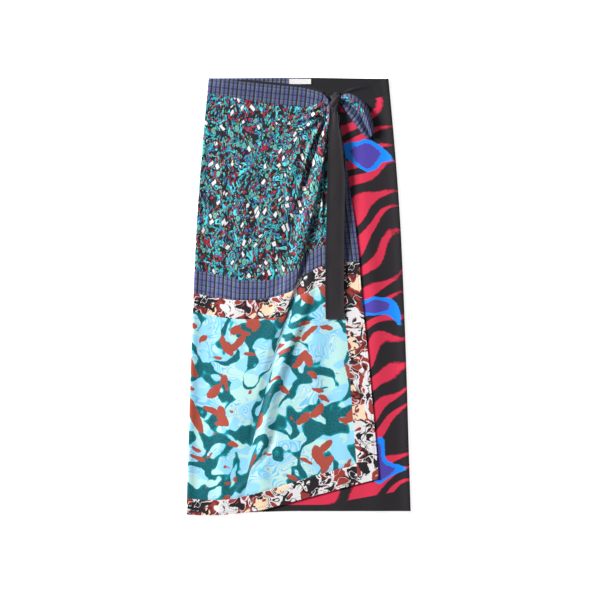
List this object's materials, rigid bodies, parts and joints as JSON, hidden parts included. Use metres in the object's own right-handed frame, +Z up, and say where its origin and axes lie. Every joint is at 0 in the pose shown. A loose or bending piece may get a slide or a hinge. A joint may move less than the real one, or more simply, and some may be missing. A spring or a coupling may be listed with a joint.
{
  "type": "wrap skirt",
  "caption": "Ankle-length wrap skirt laid flat: print panels with checked and border bands, a black and red underlap, and a black tie knotted at the waist.",
  "frame": {"origin": "on the surface that the skirt lies on, under the middle of its bounding box", "axes": "+Y along the skirt towards the waist, +Z up off the surface, +X towards the side of the bow loop and the underlap"},
  "size_m": [0.4494, 0.8756, 0.0188],
  "materials": {
    "check": "woven check, soft satin",
    "mosaic": "printed cloth, soft satin",
    "border": "printed cloth, soft satin",
    "aqua": "printed cloth, soft satin",
    "red_print": "printed cloth, soft satin",
    "black": "plain woven cloth, matte",
    "white": "smooth woven label cloth"
  },
  "bodies": {
    "root": {"waistband_check": "check", "upper_panel": "mosaic", "check_band": "check", "border_band": "border", "lower_panel": "aqua", "hem_band": "border", "side_band_check": "check", "side_band_border": "border", "waistband_black": "black", "underlap_panel": "red_print", "waist_facing": "black", "label": "white", "knot": "black", "tie_end": "black", "bow_loop": "check"}
  },
  "joints": []
}
